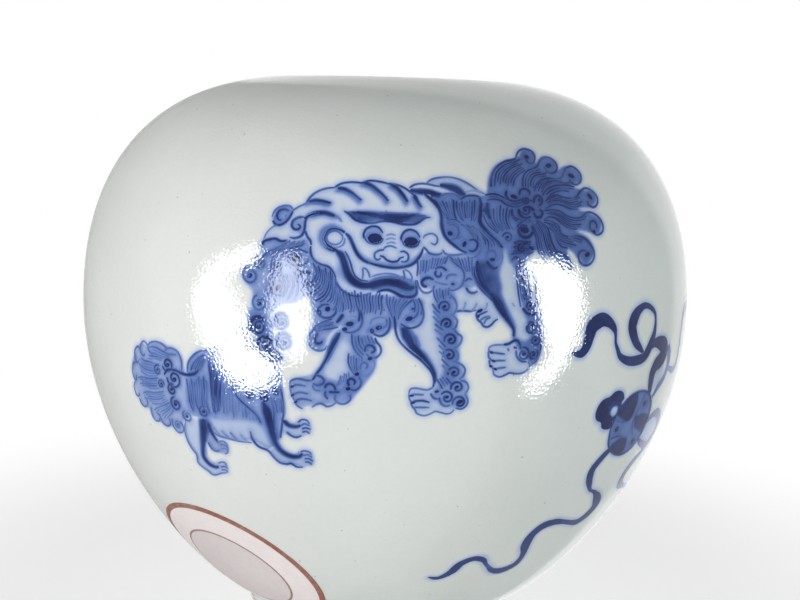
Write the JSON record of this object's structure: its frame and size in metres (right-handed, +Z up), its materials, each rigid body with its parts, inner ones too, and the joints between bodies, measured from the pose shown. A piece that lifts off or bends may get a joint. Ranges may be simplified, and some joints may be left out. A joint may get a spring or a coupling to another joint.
{
  "type": "calligraphy water pot",
  "caption": "Small globular blue-and-white porcelain water pot with an incurved mouth, a low foot ring and a round paper label.",
  "frame": {"origin": "centre of the foot ring on the ground, on the pot's axis", "axes": "+Z up the pot's axis towards the mouth; -Y faces the painted front; +X to its right as seen from the front"},
  "size_m": [0.086, 0.086, 0.0761],
  "materials": {
    "porcelain": "glossy clear glaze over cobalt blue painting, with a bare biscuit foot rim",
    "label_paper": "matte white paper with a red-brown printed border and a thin inner ring"
  },
  "bodies": {
    "root": {"pot_body": "porcelain", "paper_label": "label_paper"}
  },
  "joints": []
}
